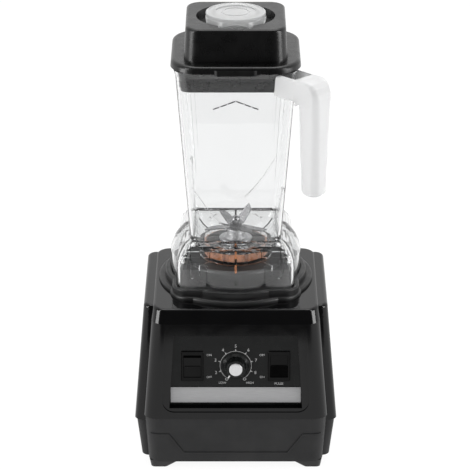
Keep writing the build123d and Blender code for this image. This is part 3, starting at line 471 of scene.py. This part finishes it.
MARK_Z = 0.4275
MARK_SLOPE = 0.38
MARK_WIDTH = 1.25 * MM
MARK_OUT = 0.0008
DASHES = ((0.5, 8.5), (9.6, 16.4), (18.0, 24.6))
for side, name in ((-1, "left"), (1, "right")):
    for number, (start, end) in enumerate(DASHES):
        runs = [(start + (end - start) * k / 3) * MM for k in range(4)]
        dash = [(side * run, MARK_Z - MARK_SLOPE * run) for run in runs]
        title = "fill_mark_%s_%d" % (name, number + 1)
        wall_strip(title, dash, MARK_WIDTH, MARK_OUT, FILL_MARK, 0.0, 0.6)

SWIRL_LOW, SWIRL_MID, SWIRL_TOP = (-10.5, 272.0), (-29.0, 293.5), (-47.0, 322.0)


def swirl_point(t):
    """A point on the parabola through the three swirl points, for t from 0 to 1."""
    a, b, c = 2 * (t - 0.5) * (t - 1), -4 * t * (t - 1), 2 * t * (t - 0.5)
    return tuple((a * p + b * q + c * r) * MM for p, q, r in zip(SWIRL_LOW, SWIRL_MID, SWIRL_TOP))


# Painted highlight: light grey strips on the four swirl ribs inside the jar, standing in for the light
# the clear ribs catch.
SWIRL_WIDTH = 0.55 * MM
SWIRL_OUT = -0.0044
swirl = [swirl_point(k / 12) for k in range(13)]
for quarter in range(4):
    title = "swirl_rib_painted_highlight_%d" % (quarter + 1)
    turn = pi / 2 * quarter
    wall_strip(title, swirl, SWIRL_WIDTH, SWIRL_OUT, PAINTED_HIGHLIGHT_LINE, turn, 0.35)

WALL_THICK = 0.003
CORNER_R_LOW, CORNER_R_GAIN = 0.009, 0.004
EDGE_TOP = 434.0
EDGE_WIDTH = 0.3 * MM
EDGE_OUT = -0.0033
# Painted highlight: light grey lines up the jar's inner corners, standing in for the light the clear
# corners reflect.
for quarter in range(4):
    for side, low, name in ((-1, 338.0, "left"), (1, 330.0, "right")):
        edge = []
        for k in range(5):
            z = (low + (EDGE_TOP - low) * k / 4) * MM
            inner = wall_half(z) - WALL_THICK
            corner = CORNER_R_LOW + (z - LOW_Z) / (RIM_Z - LOW_Z) * CORNER_R_GAIN
            edge.append((side * (inner - corner), z))
        title = "corner_line_%d_%s" % (quarter + 1, name)
        turn = pi / 2 * quarter
        wall_strip(title, edge, EDGE_WIDTH, EDGE_OUT, PAINTED_HIGHLIGHT_LINE, turn, 0.4)

# ------------------------------------------------------------------ floor, lights and camera

FLOOR_FRONT, FLOOR_BACK, FLOOR_HALF = -4.0, 2.2, 6.0
SWEEP_R = 1.2
BACKDROP_TOP = 5.0

floor_mesh = bpy.data.meshes.new("floor")
floor = bpy.data.objects.new("floor", floor_mesh)
bpy.context.scene.collection.objects.link(floor)
bm = bmesh.new()
profile = [(FLOOR_FRONT, 0.0), (FLOOR_BACK, 0.0)]
for i in range(1, 13):
    a = pi / 2 * i / 12
    profile.append((FLOOR_BACK + SWEEP_R * sin(a), SWEEP_R - SWEEP_R * cos(a)))
profile.append((FLOOR_BACK + SWEEP_R, BACKDROP_TOP))
rows = [[bm.verts.new((x, y, z)) for x in (-FLOOR_HALF, FLOOR_HALF)] for y, z in profile]
for low, high in zip(rows, rows[1:]):
    bm.faces.new((low[0], low[1], high[1], high[0]))
bm.to_mesh(floor_mesh)
bm.free()
for polygon in floor_mesh.polygons:
    polygon.use_smooth = True
floor_material, _, floor_shader = new_material("studio_floor")
floor_shader.inputs["Base Color"].default_value = (0.12, 0.12, 0.12, 1)
floor_shader.inputs["Roughness"].default_value = 0.9
floor_shader.inputs["Specular IOR Level"].default_value = 0.0
floor_shader.inputs["Emission Color"].default_value = (1, 1, 1, 1)
floor_shader.inputs["Emission Strength"].default_value = 0.93
floor_mesh.materials.append(floor_material)


def flag(name, corners):
    """A black studio flag that only glossy reflections see."""
    mesh = bpy.data.meshes.new(name)
    mesh.from_pydata(corners, [], [(0, 1, 2, 3)])
    obj = bpy.data.objects.new(name, mesh)
    bpy.context.scene.collection.objects.link(obj)
    obj.visible_camera = False
    obj.visible_diffuse = False
    obj.visible_transmission = False
    obj.visible_shadow = False
    material, _, shader = new_material(name)
    shader.inputs["Base Color"].default_value = (0.01, 0.01, 0.01, 1)
    shader.inputs["Roughness"].default_value = 1.0
    shader.inputs["Specular IOR Level"].default_value = 0.0
    shader.inputs["Emission Color"].default_value = (1, 1, 1, 1)
    shader.inputs["Emission Strength"].default_value = 0.06
    mesh.materials.append(material)


FLAG_HALF = 5
FLAG_NEAR, FLAG_FAR = -0.8, -4.5
FLAG_Z, FLAG_TOP = 0.004, 3.0
near_edge = [(-FLAG_HALF, FLAG_NEAR, FLAG_Z), (FLAG_HALF, FLAG_NEAR, FLAG_Z)]
far_edge = [(FLAG_HALF, FLAG_FAR, FLAG_Z), (-FLAG_HALF, FLAG_FAR, FLAG_Z)]
foot_edge = [(-FLAG_HALF, FLAG_FAR, 0.0), (FLAG_HALF, FLAG_FAR, 0.0)]
top_edge = [(FLAG_HALF, FLAG_FAR, FLAG_TOP), (-FLAG_HALF, FLAG_FAR, FLAG_TOP)]
flag("flag_floor", near_edge + far_edge)
flag("flag_front", foot_edge + top_edge)


def softbox(name, at, aim, width, height, power):
    """A soft studio lamp, turned to its aim."""
    light = bpy.data.lights.new(name, "AREA")
    light.shape = "RECTANGLE"
    light.size = width
    light.size_y = height
    light.energy = power
    obj = bpy.data.objects.new(name, light)
    obj.location = at
    direction = Vector(aim) - Vector(at)
    obj.rotation_euler = direction.to_track_quat("-Z", "Y").to_euler()
    bpy.context.scene.collection.objects.link(obj)


# name, place, aim, width, height and power
SOFTBOXES = (
    ("top_light", (0.0, 0.3, 2.2), (0, 0, 0.2), 1.8, 1.4, 26),
    ("left_light", (-1.5, -0.9, 1.0), (0, 0, 0.3), 0.3, 1.3, 10),
    ("right_light", (1.5, -0.9, 1.0), (0, 0, 0.3), 0.3, 1.3, 10),
    ("left_strip", (-1.5, -0.55, 0.4), (0, 0, 0.25), 0.6, 0.4, 8),
    ("right_strip", (1.5, -0.55, 0.4), (0, 0, 0.25), 0.6, 0.4, 8),
)
for box in SOFTBOXES:
    softbox(*box)

# The sky fades from bright behind the blender to dim in front of it.
SKY_FROM, SKY_TO = -0.35, 0.25
SKY_DIM, SKY_BRIGHT = 0.12, 1.0

world = bpy.data.worlds.new("studio")
bpy.context.scene.world = world
world.use_nodes = True
sky = world.node_tree
background = sky.nodes["Background"]
background.inputs["Color"].default_value = (1, 1, 1, 1)
coords = sky.nodes.new("ShaderNodeTexCoord")
parts = sky.nodes.new("ShaderNodeSeparateXYZ")
sky.links.new(coords.outputs["Generated"], parts.inputs["Vector"])
ramp = sky.nodes.new("ShaderNodeMapRange")
ramp.inputs["From Min"].default_value = SKY_FROM
ramp.inputs["From Max"].default_value = SKY_TO
ramp.inputs["To Min"].default_value = SKY_DIM
ramp.inputs["To Max"].default_value = SKY_BRIGHT
sky.links.new(parts.outputs["Y"], ramp.inputs["Value"])
sky.links.new(ramp.outputs["Result"], background.inputs["Strength"])

camera_data = bpy.data.cameras.new("camera")
camera = bpy.data.objects.new("camera", camera_data)
bpy.context.scene.collection.objects.link(camera)
camera.location = CAMERA_AT
camera.rotation_euler = (radians(90 - CAMERA_PITCH), 0, 0)
camera_data.lens = CAMERA_LENS
camera_data.sensor_width = 36
camera_data.clip_end = 50
camera_data.shift_x = CAMERA_SHIFT
bpy.context.scene.camera = camera

scene = bpy.context.scene
scene.view_settings.view_transform = "Standard"
scene.cycles.max_bounces = 24
scene.cycles.transmission_bounces = 20
scene.cycles.glossy_bounces = 6
scene.cycles.transparent_max_bounces = 16
